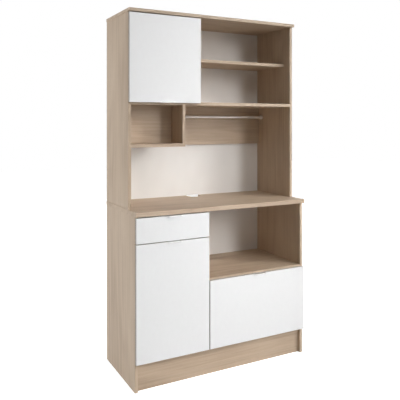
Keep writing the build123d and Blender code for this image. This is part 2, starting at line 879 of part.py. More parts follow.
def socket_screws():
    """The place of the screw in the floor of each rail socket."""
    start, end = rail_ends()
    return [
        (rail_axis(start + socket_floor), X * -1, carcass_screw_length),
        (rail_axis(end - socket_floor), X, carcass_screw_length),
    ]


def floor_glides():
    """The plastic glides under the base sides."""
    return [
        block(x - glide_width / 2, x + glide_width / 2, y, y + glide_length, 0, glide_height)
        for x in (board / 2, width - board / 2)
        for y in (glide_inset, depth - glide_inset - glide_length)
    ]


def nail(x, z):
    """A flat-head panel nail through a back panel, flush with it."""
    head = rod(Vector(x, back_face, z), Y * -1, 2 * nail_radius, nail_radius)
    return head + rod(Vector(x, back_face, z), Y * -1, nail_radius, nail_length)


def back_nails():
    """The nails around the back panels. Those beside the back rail keep clear of its dowels."""
    base_pitch = (base_top - plinth_top - 2 * board) / base_nail_steps
    base_rows = [plinth_top + board / 2 + step * base_pitch for step in range(base_nail_steps + 1)]
    lowest = worktop_height + hutch_nail_inset
    highest = hutch_top - hutch_nail_inset
    rows_below = int((back_rail_bottom - lowest) / hutch_nail_pitch) + 1
    rows_above = int((highest - middle_top) / hutch_nail_pitch) + 1
    hutch_rows = [lowest + step * hutch_nail_pitch for step in range(rows_below)]
    hutch_rows += [highest - step * hutch_nail_pitch for step in range(rows_above)]
    hutch_rows.append(middle_shelf_height - rail_nail_drop)
    hutch_rows.append(back_rail_bottom + fitting_inset + rail_nail_past_dowel)
    nails = [nail(x, z) for x in (board / 2, width - board / 2) for z in base_rows + hutch_rows]
    nails += [nail((divider_left + divider_right) / 2, z) for z in base_rows[1:-1]]
    return nails


# Boards


def base_side(x0, fittings):
    """One side of the base."""
    return drilled(block(x0, x0 + board, 0, depth, glide_height, base_top), fittings)


def base_divider(fittings):
    """The upright between the cupboard and the niche."""
    return drilled(block(divider_left, divider_right, 0, depth, floor_top, base_top), fittings)


def base_floor(fittings):
    """The bottom board of the base."""
    return drilled(block(inner_left, inner_right, 0, depth, plinth_top, floor_top), fittings)


def niche_floor(fittings):
    """The board under the appliance niche."""
    solid = block(divider_right, inner_right, 0, depth, niche_floor_bottom, niche_floor_top)
    return drilled(solid, fittings)


def plinth(fittings):
    """The recessed plinth between the base sides."""
    solid = block(inner_left, inner_right, plinth_setback, plinth_setback + board, glide_height, plinth_top)
    return drilled(solid, fittings)


def cover(y_front, z_low, z_high):
    """A cover board that overhangs the sides and the fronts."""
    return block(-cover_overhang, width + cover_overhang, y_front, back_face, z_low, z_high)


def worktop(fittings):
    """The worktop with the round-ended cable notch in its rear edge."""
    radius = cable_notch_width / 2
    straight = cable_notch_depth - radius
    notch = block(cable_notch_middle - radius, cable_notch_middle + radius, depth - straight, back_face,
                  base_top, worktop_height)
    notch += rod(Vector(cable_notch_middle, depth - straight, base_top), Z, radius, worktop_thick)
    return drilled(cover(cover_front, base_top, worktop_height) - notch, fittings)


def top_panel(fittings):
    """The top board of the hutch."""
    return drilled(cover(hutch_setback + cover_front, hutch_top, full_height), fittings)


def hutch_side(x0, fittings):
    """One side of the hutch."""
    return drilled(block(x0, x0 + board, hutch_setback, depth, worktop_height, hutch_top), fittings)


def middle_shelf(fittings):
    """The shelf across the hutch, under the upper cabinet."""
    solid = block(inner_left, inner_right, hutch_setback, depth, middle_shelf_height, middle_top)
    return drilled(solid, fittings)


def hutch_divider(fittings):
    """The upright between the upper cabinet and the open shelves."""
    return drilled(block(divider_left, divider_right, hutch_setback, depth, middle_top, hutch_top), fittings)


def open_shelf(fittings):
    """The set-back shelf of the open part."""
    solid = block(divider_right, inner_right, hutch_setback + open_shelf_setback, depth,
                  open_shelf_height, open_shelf_height + board)
    return drilled(solid, fittings)


def loose_shelf(front_y, low):
    """A loose shelf on pins in the left bay."""
    return block(inner_left + shelf_play, divider_left - shelf_play, front_y + shelf_setback,
                 depth - shelf_play, low, low + board)


def cubby_divider(fittings):
    """The upright of the cubby under the middle shelf."""
    solid = block(cubby_right, cubby_right + board, hutch_setback, cubby_back_rear,
                  cubby_floor_bottom, middle_shelf_height)
    return drilled(solid, fittings)


def cubby_floor(fittings):
    """The floor of the cubby."""
    solid = block(inner_left, cubby_right, hutch_setback, cubby_back_rear,
                  cubby_floor_bottom, cubby_floor_top)
    return drilled(solid, fittings)


def cubby_back(fittings):
    """The board that closes the shallow cubby at the rear."""
    solid = block(inner_left, cubby_right, cubby_back_front, cubby_back_rear,
                  cubby_floor_top, middle_shelf_height)
    return drilled(solid, fittings)


def back_rail(fittings):
    """The wide rail behind the utensil rail."""
    solid = block(inner_left, inner_right, depth - board, depth, back_rail_bottom, middle_shelf_height)
    return drilled(solid, fittings)


def back_panel(z_low, z_high, fittings):
    """A thin white back panel."""
    return drilled(block(0, width, depth, back_face, z_low, z_high), fittings)


def assembly():
    """Every node of the buffet with its solids."""
    dowels, cams = carcass_joints()
    bolts = [cam_bolt(*cam[:2]) for cam in cams]
    nails = back_nails()
    upper_pins = shelf_pins(inner_left, divider_left, hutch_setback, depth, cabinet_shelf_height)
    lower_pins = shelf_pins(inner_left, divider_left, 0, depth, cupboard_shelf_height)
    spares = spare_holes(inner_left, divider_left, hutch_setback, depth, cabinet_shelf_height)
    spares += spare_holes(inner_left, divider_left, 0, depth, cupboard_shelf_height)
    upper = hinges(side_hinge_places(hutch_setback, upper_door_bottom, upper_door_top), board - side_reveal)
    lower = hinges(side_hinge_places(0, low_fronts_bottom, lower_door_top), board - side_reveal)
    flap = hinges(flap_hinge_places(), board - edge_reveal)
    loose_spots = [*cabinet_runner_screws(), *socket_screws()]
    walls = ((divider_right, 1), (inner_right, -1))
    stay_pins = [stay_pin(wall, inward) for wall, inward in walls]
    bracket_spots = [s for wall, inward in walls for s in stay_bracket_screws(wall, inward)]
    holes = [
        *dowels, *bolts, *[cam_hole(*cam) for cam in cams], *nails, *upper_pins, *lower_pins, *spares,
        *upper["plate_holes"], *lower["plate_holes"], *flap["plate_holes"], *stay_pins,
        *screw_holes(loose_spots),
    ]
    upper_front = hung_front(side_reveal, front_right_edge, upper_door_bottom, upper_door_top, hutch_setback,
                             upper_door_bottom, -1, upper)
    lower_front = hung_front(side_reveal, front_right_edge, low_fronts_bottom, lower_door_top, 0,
                             lower_door_top, 1, lower)
    flap_front = hung_front(flap_left_edge, flap_right_edge, low_fronts_bottom, flap_top, 0,
                            flap_top, 1, flap)
    drawer_middle = (side_reveal + front_right_edge) / 2
    drawer_pull = edge_pull(drawer_middle, 0, drawer_front_top, 1)
    drawer_spots = [*drawer_runner_screws(), *pull_screws(drawer_middle, 0, drawer_front_top, 1)]
    drawer_fittings = [*drawer_joints(), *screw_holes(drawer_spots)]
    sockets = zip(rail_ends(), (1, -1))
    return {
        "base_side_left": [base_side(0, holes)],
        "base_side_right": [base_side(inner_right, holes)],
        "base_divider": [base_divider(holes)],
        "base_floor": [base_floor(holes)],
        "niche_floor": [niche_floor(holes)],
        "plinth": [plinth(holes)],
        "worktop": [worktop(holes)],
        "base_back": [back_panel(plinth_top, base_top, holes)],
        "cupboard_shelf": [loose_shelf(0, cupboard_shelf_height)],
        "hutch_side_left": [hutch_side(0, holes)],
        "hutch_side_right": [hutch_side(inner_right, holes)],
        "top_panel": [top_panel(holes)],
        "middle_shelf": [middle_shelf(holes)],
        "hutch_divider": [hutch_divider(holes)],
        "open_shelf": [open_shelf(holes)],
        "cabinet_shelf": [loose_shelf(hutch_setback, cabinet_shelf_height)],
        "cubby_divider": [cubby_divider(holes)],
        "cubby_floor": [cubby_floor(holes)],
        "cubby_back": [cubby_back(holes)],
        "back_rail": [back_rail(holes)],
        "hutch_back": [back_panel(worktop_height, hutch_top, holes)],
        "utensil_rail": [utensil_rail()],
        "rail_sockets": [rail_socket(wall, inward) for wall, inward in sockets],
        "floor_glides": floor_glides(),
        "shelf_pins": upper_pins + lower_pins,
        "dowels": dowels,
        "cam_fittings": bolts + [cam_lock(*cam) for cam in cams],
        "back_nails": nails,
        "hinge_arms": upper["arm"] + lower["arm"] + flap["arm"],
        "hinge_plates": upper["plate"] + lower["plate"] + flap["plate"],
        "carcass_screws": [
            *upper["plate_screws"], *lower["plate_screws"], *flap["plate_screws"],
            *upper["arm_screw"], *lower["arm_screw"], *flap["arm_screw"], *screws(loose_spots),
        ],
        "upper_hinge_links": upper["link"],
        "upper_hinge_cups": upper["cup"],
        "upper_door": [upper_front[0]],
        "upper_door_pull": [upper_front[1]],
        "upper_door_screws": upper_front[2],
        "lower_hinge_links": lower["link"],
        "lower_hinge_cups": lower["cup"],
        "lower_door": [lower_front[0]],
        "lower_door_pull": [lower_front[1]],
        "lower_door_screws": lower_front[2],
        "flap_hinge_links": flap["link"],
        "flap_hinge_cups": flap["cup"],
        "flap": [drilled(flap_front[0], screw_holes(bracket_spots))],
        "flap_pull": [flap_front[1]],
        "flap_screws": flap_front[2] + screws(bracket_spots),
        "stay_brackets": [stay_bracket(wall, inward) for wall, inward in walls],
        "stay_arms": stay_arms(),
        "stay_pins": stay_pins,
        "drawer_front": [drawer_front(drawer_pull, drawer_fittings)],
        "drawer_pull": [drilled(drawer_pull, drawer_fittings)],
        "drawer_sides": [
            drawer_side(drawer_left, 1, drawer_fittings),
            drawer_side(drawer_right, -1, drawer_fittings),
        ],
        "drawer_back": [drawer_back(drawer_fittings)],
        "drawer_bottom": [drawer_bottom()],
        "drawer_dowels": drawer_joints(),
        "drawer_screws": screws(drawer_spots),
        "cabinet_runners": [
            cabinet_runner(inner_left, 1),
            cabinet_runner(divider_left, -1),
        ],
        "drawer_runners": [
            drawer_runner(drawer_left, 1),
            drawer_runner(drawer_right, -1),
        ],
        "cabinet_rollers": cabinet_rollers(),
        "drawer_rollers": drawer_rollers(),
    }


def main():
    """Writes one STEP file for each node."""
    os.makedirs("parts", exist_ok=True)
    for name, solids in assembly().items():
        flat = [s for solid in solids for s in solid.solids()]
        placed = [frame_shift * s for s in flat]
        export_step(placed[0] if len(placed) == 1 else Compound(children=placed), f"parts/{name}.step")


main()
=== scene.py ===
# %% [markdown]
# # A kitchen buffet hutch in woodgrain and white
# The real object is flat-pack furniture: boards with a printed oak surface, smooth white fronts,
# thin white backs, and small metal fittings. Its shapes come from the imported model, which is
# loaded here as a fixed frame. This lesson gives every piece its finish, rounds the sharp board
# edges a little, and sets up the camera and the light.

import math

import bmesh
import bpy
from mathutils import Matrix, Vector


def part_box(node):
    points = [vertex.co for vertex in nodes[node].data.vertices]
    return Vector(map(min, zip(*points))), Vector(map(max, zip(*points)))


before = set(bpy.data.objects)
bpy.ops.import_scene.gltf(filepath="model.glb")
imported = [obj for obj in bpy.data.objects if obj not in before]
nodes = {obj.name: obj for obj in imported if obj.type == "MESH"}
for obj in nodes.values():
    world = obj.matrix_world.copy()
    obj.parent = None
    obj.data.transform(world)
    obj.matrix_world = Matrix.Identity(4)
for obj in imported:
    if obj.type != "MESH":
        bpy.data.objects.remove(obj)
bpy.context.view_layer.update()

# %% [markdown]
# ## Small helpers for materials
# Every finish below is a tree of shader nodes on one Principled shader. Four short helpers keep
# the cells readable: one starts a material, one adds a node with its settings, one joins two
# sockets, and one gives the coordinates that a pattern reads. Those are Object coordinates: each
# piece has its place in its mesh, so a grain or a speckle has its real size and stays on the
# piece when it moves.

# %% Materials, nodes, joins and coordinates


def new_finish(name, roughness, metallic=0.0):
    """A material with one Principled shader: (material, tree, shader)."""
    material = bpy.data.materials.new(name)
    material.use_nodes = True
    tree = material.node_tree
    shader = tree.nodes["Principled BSDF"]
    shader.inputs["Roughness"].default_value = roughness
    shader.inputs["Metallic"].default_value = metallic
    return material, tree, shader


def add(tree, kind, **values):
    """A new shader node; values are its properties or, where it has none so named, its inputs."""
    node = tree.nodes.new("ShaderNode" + kind)
    for key, value in values.items():
        if hasattr(node, key):
            setattr(node, key, value)
        else:
            node.inputs[key.replace("_", " ").title()].default_value = value
    return node


def join(tree, source, target):
    """Joins an output socket to an input socket."""
    tree.links.new(source, target)


def stretched(tree, scale=(1.0, 1.0, 1.0), shift=(0.0, 0.0, 0.0)):
    """Object coordinates, scaled and shifted."""
    place = add(tree, "TexCoord")
    mapping = add(tree, "Mapping")
    mapping.inputs["Scale"].default_value = scale
    mapping.inputs["Location"].default_value = shift
    join(tree, place.outputs["Object"], mapping.inputs["Vector"])
    return mapping.outputs["Vector"]


print("material helpers ready")

# %% [markdown]
# ## Layers of a pattern
# A printed or pressed surface is a few layers: noise drawn out along the grain, or a fine speckle,
# added up in shares. The shader editor would show such a chain as a row of boxes. Here each step
# is one helper, so that a finish reads as the list of its layers.

# %% Noise, arithmetic and shares


def along(axis, scale):
    """A scale for coordinates that draws a pattern out along one axis; a smaller one is longer."""
    scales = [1.0, 1.0, 1.0]
    scales[axis] = scale
    return scales


def noise(tree, stretch=(1.0, 1.0, 1.0), shift=(0.0, 0.0, 0.0), **settings):
    """Soft noise over the piece, as a factor from 0 to 1."""
    node = add(tree, "TexNoise", **settings)
    join(tree, stretched(tree, stretch, shift), node.inputs["Vector"])
    return node.outputs["Fac"]


def math_step(tree, operation, first, second):
    """One arithmetic step; either side is a socket or a plain number."""
    node = add(tree, "Math", operation=operation)
    for socket, value in zip(node.inputs, (first, second)):
        if isinstance(value, (int, float)):
            socket.default_value = value
        else:
            join(tree, value, socket)
    return node.outputs["Value"]


def weighted(tree, *layers):
    """The sum of some factors, each times its share; a layer is (factor, share)."""
    parts = [math_step(tree, "MULTIPLY", factor, share) for factor, share in layers]
    total = parts[0]
    for part in parts[1:]:
        total = math_step(tree, "ADD", total, part)
    return total


print("layer helpers ready")

# %% [markdown]
# ## Colour, gloss and relief
# The layers act in three ways, as on a real surface. A ramp turns them into colours, and a tint
# darkens the spots that a mask picks out. The same layers change the gloss from place to place
# and raise a slight relief, which is what a lamp shows first on a board that looks plain.

# %% Ramps, tints, roughness and bumps


def ramp(tree, source, stops):
    """A colour ramp over a factor, from (position, colour) pairs."""
    node = add(tree, "ValToRGB")
    elements = node.color_ramp.elements
    while len(elements) < len(stops):
        elements.new(1.0)
    for element, (position, colour) in zip(elements, stops):
        element.position = position
        element.color = (*colour, 1.0)
    join(tree, source, node.inputs["Fac"])
    return node.outputs["Color"]


def blend_colours(tree, factor, first, second):
    """Two colours mixed by a factor; each colour is a socket or three numbers."""
    node = add(tree, "Mix", data_type="RGBA")
    join(tree, factor, node.inputs["Factor"])
    sockets = [s for s in node.inputs if s.type == "RGBA"]
    for socket, value in zip(sockets, (first, second)):
        if isinstance(value, tuple):
            socket.default_value = (*value, 1.0)
        else:
            join(tree, value, socket)
    return [s for s in node.outputs if s.type == "RGBA"][0]


def tinted(tree, colour, tint, mask, strength):
    """A colour mixed with a tint where the mask is light, up to a strength."""
    return blend_colours(tree, math_step(tree, "MULTIPLY", mask, strength), colour, tint)


def vary_roughness(tree, shader, factor, at_zero, at_one):
    """Takes the roughness from one value to another as the factor goes from 0 to 1."""
    node = add(tree, "MapRange", to_min=at_zero, to_max=at_one)
    join(tree, factor, node.inputs["Value"])
    join(tree, node.outputs["Result"], shader.inputs["Roughness"])


def bumped(tree, shader, height, strength, distance):
    """Sends a height to the shader's normal."""
    node = add(tree, "Bump", strength=strength, distance=distance)
    join(tree, height, node.inputs["Height"])
    join(tree, node.outputs["Normal"], shader.inputs["Normal"])


print("surface helpers ready")

# %% [markdown]
# ## The oak boards
# The real boards wear a printed oak picture under a matt, slightly embossed film. It shows soft
# arches of grain, fine fibres and short dark pores along the board, and here and there a small
# knot. A photograph of wood would be the usual way to make it; here noise is stretched along the
# grain instead, so it needs no image and never repeats. The arches are contour lines of a slow
# noise: a sine of the noise draws the rings of the tree as a saw would cut them. One material for
# each direction of grain is enough, because boards in different places cut different parts of it.

# %% Oak for one direction of grain
X_AXIS, Y_AXIS, Z_AXIS = 0, 1, 2
BLACK = (0.0, 0.0, 0.0)
WHITE = (1.0, 1.0, 1.0)
OAK_DARK = (0.430, 0.317, 0.221)
OAK_MIDDLE = (0.539, 0.414, 0.298)
OAK_LIGHT = (0.612, 0.484, 0.359)
OAK_PORE = (0.360, 0.262, 0.190)
OAK_KNOT = (0.200, 0.130, 0.086)
KNOT_RIM = (0.75, 0.75, 0.75)
RING_COUNT = 58.0
RING_SHARE = 0.055
FIBRE_SHARE = 0.54
CLOUD_SHARE = 0.46
PORE_STRENGTH = 0.34
PORE_DEPTH = 0.5
KNOT_STRENGTH = 0.42


def oak(name, grain, shift):
    """Matt printed oak whose grain runs along one axis; the shift picks its part of the tree."""
    material, tree, shader = new_finish(name, roughness=0.5)
    slow = noise(tree, along(grain, 0.16), shift,
                 scale=3.0, detail=2.0, roughness=0.5, distortion=0.35)
    rings = math_step(tree, "SINE", math_step(tree, "MULTIPLY", slow, RING_COUNT), 0.0)
    fibres = noise(tree, along(grain, 0.022), shift,
                   scale=95.0, detail=4.0, roughness=0.62, distortion=0.2)
    clouds = noise(tree, along(grain, 0.4), shift, scale=4.5, detail=2.0, roughness=0.5)
    tone = weighted(tree, (rings, RING_SHARE), (fibres, FIBRE_SHARE), (clouds, CLOUD_SHARE))
    colour = ramp(tree, tone, [(0.30, OAK_DARK), (0.50, OAK_MIDDLE), (0.72, OAK_LIGHT)])

    specks = noise(tree, along(grain, 0.035), shift, scale=620.0, detail=2.0, roughness=0.55)
    pores = ramp(tree, specks, [(0.56, BLACK), (0.70, WHITE)])
    colour = tinted(tree, colour, OAK_PORE, pores, PORE_STRENGTH)

    cells = add(tree, "TexVoronoi", scale=2.1, randomness=1.0)
    join(tree, stretched(tree, along(grain, 0.42), shift), cells.inputs["Vector"])
    knots = ramp(tree, cells.outputs["Distance"], [(0.0, WHITE), (0.022, KNOT_RIM), (0.05, BLACK)])
    colour = tinted(tree, colour, OAK_KNOT, knots, KNOT_STRENGTH)
    join(tree, colour, shader.inputs["Base Color"])

    vary_roughness(tree, shader, fibres, at_zero=0.60, at_one=0.46)
    sunk = math_step(tree, "MULTIPLY", pores, PORE_DEPTH)
    relief = math_step(tree, "SUBTRACT", fibres, sunk)
    bumped(tree, shader, relief, strength=0.35, distance=0.0004)
    return material


oak_across = oak("oak_grain_across", X_AXIS, shift=(0.0, 0.3, 0.17))
oak_upright = oak("oak_grain_upright", Z_AXIS, shift=(0.6, 0.1, 0.45))
print("oak finishes:", oak_across.name, oak_upright.name)

# %% [markdown]
# ## Pale boards
# The thin backs are painted hardboard, flat and a little warm, with a fine fibre speckle. The
# drawer box is wrapped in a pale grey film with a fine speckled print. Both are a small noise
# apart from one plain colour, which keeps them from looking like plaster, so one function makes
# them. The white film of the fronts starts from it too, in the next step.

# %% Painted hardboard and wrapped drawer board


def pale(name, low, high, roughness, speckle, wave, relief):
    """A pale finish between two close colours; speckle and wave are noise scales: more is finer."""
    material, tree, shader = new_finish(name, roughness)
    fine = noise(tree, scale=speckle, detail=3.0, roughness=0.6)
    broad = noise(tree, along(Z_AXIS, 0.6), scale=wave, detail=1.0, roughness=0.5)
    mixed = weighted(tree, (fine, 0.5), (broad, 0.5))
    join(tree, ramp(tree, mixed, [(0.35, low), (0.65, high)]), shader.inputs["Base Color"])
    vary_roughness(tree, shader, broad, roughness - 0.05, roughness + 0.06)
    bumped(tree, shader, mixed, strength=0.25, distance=relief)
    return material


white_back = pale("white_painted_hardboard", (0.800, 0.775, 0.745), (0.850, 0.828, 0.800),
                  roughness=0.55, speckle=1400.0, wave=9.0, relief=0.0002)
drawer_wrap = pale("grey_drawer_wrap", (0.600, 0.598, 0.590), (0.690, 0.688, 0.680),
                   roughness=0.48, speckle=1800.0, wave=300.0, relief=0.0002)
print("pale finishes:", white_back.name, drawer_wrap.name)

# %% [markdown]
# ## White fronts with darker edges
# The faces of the fronts wear a smooth white film, a little glossier than the oak, with the faint
# waviness that pressing leaves. Their narrow edges get a darker beige: partly the strip glued on
# after sawing, partly painted shade of the gaps between the fronts. It could be a second slot on
# the side faces; a mask on the Object Y coordinate does it without touching the mesh. Between the
# front plane and the rear plane of a front lie only its edges and the walls of its drilled holes,
# where bare board is beige as well; they get the same darker beige. The planes come from the frame.
# The upper door hangs farther back than the lower fronts, so each depth gets its own copy of the
# film.

# %% White film, and darker edges between two planes: edge strip and painted shade
# Edge colours: the beige edge strip, made darker as painted shade of the gaps between the fronts.
EDGE_STRIP_AND_SHADE_DARK = (0.330, 0.292, 0.255)
EDGE_STRIP_AND_SHADE_LIGHT = (0.400, 0.358, 0.318)
EDGE_COLOUR_MARGIN = 0.0004
FILM_LOW = (0.874, 0.873, 0.871)
FILM_HIGH = (0.888, 0.887, 0.885)


def white_front(name, board):
    """White film on the faces of a front board; between its two planes, a beige edge strip darkened
    as painted shade.
    """
    board_low, board_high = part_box(board)
    material = pale(name, FILM_LOW, FILM_HIGH,
                    roughness=0.36, speckle=900.0, wave=60.0, relief=0.00005)
    tree = material.node_tree
    shader = tree.nodes["Principled BSDF"]
    film = shader.inputs["Base Color"].links[0].from_socket
    place = add(tree, "SeparateXYZ")
    join(tree, stretched(tree), place.inputs["Vector"])
    behind = math_step(tree, "GREATER_THAN", place.outputs["Y"], board_low.y + EDGE_COLOUR_MARGIN)
    before = math_step(tree, "LESS_THAN", place.outputs["Y"], board_high.y - EDGE_COLOUR_MARGIN)
    fibres = noise(tree, (0.2, 1.0, 0.2), scale=160.0, detail=3.0, roughness=0.6)
    # The edge colour: beige strip plus painted shade of the gaps between the fronts.
    edge_strip_and_shade = ramp(tree, fibres, [(0.35, EDGE_STRIP_AND_SHADE_DARK), (0.65, EDGE_STRIP_AND_SHADE_LIGHT)])
    mask = math_step(tree, "MULTIPLY", behind, before)
    join(tree, blend_colours(tree, mask, film, edge_strip_and_shade), shader.inputs["Base Color"])
    print(name, "edging from", round(board_low.y, 4), "to", round(board_high.y, 4))
    return material


low_white_front = white_front("white_low_front", "lower_door")
high_white_front = white_front("white_high_front", "upper_door")

# %% [markdown]
# ## Metals
# Pulls and rail are satin aluminium, brushed along their length and probably lacquered. The
# hinges, stays and screws are plated steel. Real brushing is a mass of tiny parallel scratches:
# noise stretched hard along one axis varies both the roughness and the relief, so a light drags
# out across the lines. A lacquered metal could get a coat over it; here it is simply set less
# than fully metallic, and the rail least of all, because it looks pale and dull in the photograph.

# %% Brushed and plated metal
BRUSH_STRETCH = 0.012


def brushed(name, dark, light, roughness, axis, metallic=1.0):
    """Metal with fine lines along one axis; a lacquered one is less than fully metallic."""
    material, tree, shader = new_finish(name, roughness, metallic)
    lines = noise(tree, along(axis, BRUSH_STRETCH), scale=2600.0, detail=2.0, roughness=0.6)
    cloud = noise(tree, scale=35.0, detail=2.0, roughness=0.5)
    tone = weighted(tree, (lines, 0.6), (cloud, 0.4))
    join(tree, ramp(tree, tone, [(0.3, dark), (0.7, light)]), shader.inputs["Base Color"])
    vary_roughness(tree, shader, tone, roughness - 0.07, roughness + 0.09)
    bumped(tree, shader, lines, strength=0.2, distance=0.00005)
    return material


satin_aluminium = brushed("satin_aluminium", (0.62, 0.62, 0.62), (0.74, 0.74, 0.73),
                          roughness=0.42, axis=X_AXIS, metallic=0.8)
rail_metal = brushed("satin_rail_metal", (0.78, 0.74, 0.70), (0.86, 0.82, 0.78),
                     roughness=0.45, axis=X_AXIS, metallic=0.3)
nickel_plate = brushed("nickel_plate", (0.52, 0.52, 0.51), (0.68, 0.67, 0.65),
                       roughness=0.26, axis=Z_AXIS)
zinc_plate = brushed("zinc_plate", (0.50, 0.51, 0.52), (0.70, 0.70, 0.69),
                     roughness=0.38, axis=Y_AXIS)
print("metals:", satin_aluminium.name, rail_metal.name, nickel_plate.name, zinc_plate.name)

# %% [markdown]
# ## Powder coat, nylon, dark plastic and beech
# These are the small hidden materials: white powder coat on the drawer runners, milky nylon
# rollers, dark glides under the sides and raw beech dowels. Each gets its own grain size, because
# a close look at an open drawer or at the underside shows them.

# %% Coats and plastics


def skin(name, low, high, roughness, pebbles, relief):
    """A coat or plastic with a fine pebbled skin; pebbles is a noise scale: more is finer."""
    material, tree, shader = new_finish(name, roughness)
    grain = noise(tree, scale=pebbles, detail=2.0, roughness=0.55)
    join(tree, ramp(tree, grain, [(0.35, low), (0.65, high)]), shader.inputs["Base Color"])
    vary_roughness(tree, shader, grain, roughness - 0.06, roughness + 0.08)
    bumped(tree, shader, grain, strength=0.3, distance=relief)
    return material


powder_coat = skin("white_powder_coat", (0.76, 0.76, 0.75), (0.84, 0.84, 0.83),
                   roughness=0.42, pebbles=1300.0, relief=0.0001)
milky_nylon = skin("milky_nylon", (0.78, 0.78, 0.75), (0.84, 0.84, 0.81),
                   roughness=0.34, pebbles=500.0, relief=0.00005)
dark_plastic = skin("dark_glide_plastic", (0.020, 0.019, 0.018), (0.034, 0.032, 0.030),
                    roughness=0.5, pebbles=900.0, relief=0.0001)
raw_beech = skin("raw_beech", (0.50, 0.33, 0.18), (0.62, 0.43, 0.26),
                 roughness=0.62, pebbles=700.0, relief=0.0002)
print("coats:", powder_coat.name, milky_nylon.name, dark_plastic.name, raw_beech.name)

# %% [markdown]
# ## Dress the frame
# Each piece of the frame takes the finish of its kind. Boards that lie or run across the buffet
# have their grain across, upright boards have it upright, as the maker saws them. A dictionary
# from finish to names keeps this in one place, and the print shows whether a piece was forgotten.

# %% Which piece wears which finish
ACROSS = ["base_floor", "niche_floor", "plinth", "worktop", "cupboard_shelf", "top_panel",
          "middle_shelf", "open_shelf", "cabinet_shelf", "cubby_floor", "cubby_back", "back_rail"]
UPRIGHT = ["base_side_left", "base_side_right", "base_divider", "hutch_side_left",
           "hutch_side_right", "hutch_divider", "cubby_divider"]
LOW_FRONTS = ["lower_door", "flap", "drawer_front"]
PULLS = ["upper_door_pull", "lower_door_pull", "flap_pull", "drawer_pull"]
HINGES = ["hinge_arms", "hinge_plates", "upper_hinge_links", "upper_hinge_cups",
          "lower_hinge_links", "lower_hinge_cups", "flap_hinge_links", "flap_hinge_cups",
          "stay_brackets", "stay_arms", "stay_pins"]
SCREWS = ["carcass_screws", "upper_door_screws", "lower_door_screws", "flap_screws",
          "drawer_screws", "cam_fittings", "back_nails", "shelf_pins"]

finishes = {
    oak_across: ACROSS,
    oak_upright: UPRIGHT,
    low_white_front: LOW_FRONTS,
    high_white_front: ["upper_door"],
    white_back: ["base_back", "hutch_back", "drawer_bottom"],
    drawer_wrap: ["drawer_sides", "drawer_back"],
    satin_aluminium: PULLS,
    rail_metal: ["utensil_rail", "rail_sockets"],
    nickel_plate: HINGES,
    zinc_plate: SCREWS,
    powder_coat: ["cabinet_runners", "drawer_runners"],
    milky_nylon: ["cabinet_rollers", "drawer_rollers"],
    dark_plastic: ["floor_glides"],
    raw_beech: ["dowels", "drawer_dowels"],
}
for material, names in finishes.items():
    for name in names:
        nodes[name].data.materials.clear()
        nodes[name].data.materials.append(material)
undressed = set(nodes) - {name for names in finishes.values() for name in names}
print("dressed:", len(nodes) - len(undressed), "undressed:", sorted(undressed))

# %% [markdown]
# ## Soft edges
# The edge of a real board is never knife sharp: its edging is rounded by half a millimetre, and
# that thin line catches the light. Rounding the solids would work too, but a Weld and a Bevel
# modifier do it here without touching the meshes of the frame. The weld comes first, because the
# frame's meshes are loose triangles, and a bevel needs faces that share their edges.

# %% Round the edges a little
BOARD_ROUNDING = 0.0005
PULL_ROUNDING = 0.00025
WELD_REACH = 0.00001


def rounded(name, radius):
    """Welds a piece's loose triangles and rounds its sharp edges."""
    piece = nodes[name]
    weld = piece.modifiers.new("weld", "WELD")
    weld.merge_threshold = WELD_REACH
    bevel = piece.modifiers.new("edge_rounding", "BEVEL")
    bevel.width = radius
    bevel.segments = 2
    bevel.limit_method = "ANGLE"
    bevel.angle_limit = math.radians(50)
    bevel.use_clamp_overlap = False
    bevel.harden_normals = False


BOARDS = ACROSS + UPRIGHT + LOW_FRONTS + ["upper_door"]
for name in BOARDS:
    rounded(name, BOARD_ROUNDING)
for name in PULLS:
    rounded(name, PULL_ROUNDING)
print("rounded:", len(BOARDS + PULLS))

# %% [markdown]
# ## Camera
# The photograph was taken from the left, at chest height, with the camera held level: the upright
# edges stay upright, so the lens was shifted down instead of tilted. The place, the heading and
# the focal length come from the corners of the boards in the picture.

# %% The photograph's camera
LEVEL = 90.0
HEADING = -27.88

camera = bpy.data.objects.new("camera", bpy.data.cameras.new("camera"))
bpy.context.scene.collection.objects.link(camera)
camera.location = (-1.42246, -2.60222, 1.29353)
camera.rotation_euler = (math.radians(LEVEL), 0, math.radians(HEADING))
camera.data.sensor_width = 36
camera.data.lens = 48.40
camera.data.shift_y = -0.194
bpy.context.scene.camera = camera
print("camera:", tuple(round(v, 3) for v in camera.location), "lens", round(camera.data.lens, 2))

# %% [markdown]
# ## Floor
# The photograph is a studio cut-out on white. The floor is a plain diffuse sheet that catches the
# buffet's soft shadow. It glows white to the eye of the camera and in what glossy surfaces mirror,
# but adds nothing to the soft light on the buffet. The glow is a little under white near the feet,
# where the shadow should stay visible, and full white farther out, so that no horizon shows.

# %% Floor
FLOOR_REACH = 12.0
FLOOR_GREY = (0.80, 0.80, 0.80)
GLOW_AT_FEET = 0.86
GLOW_RISES_FROM = 0.5
GLOW_FULL_FROM = 2.2

floor_mesh = bpy.data.meshes.new("floor")
floor_shape = bmesh.new()
bmesh.ops.create_grid(floor_shape, x_segments=1, y_segments=1, size=FLOOR_REACH)
floor_shape.to_mesh(floor_mesh)
floor_shape.free()
floor = bpy.data.objects.new("floor", floor_mesh)
bpy.context.scene.collection.objects.link(floor)
print("floor:", 2 * FLOOR_REACH, "m wide")

# %% [markdown]
# ## The floor's glow
# Light Path says which kind of ray has arrived. Rays from the camera, and those that a glossy
# surface or glass sends on, see the glow; the soft light that bounces between floor and buffet
# doesn't. A brighter lamp would make the floor white too, but would wash out the object. The
# world uses the same test in the next step, so it is a function.

# %% A floor that glows only to the camera


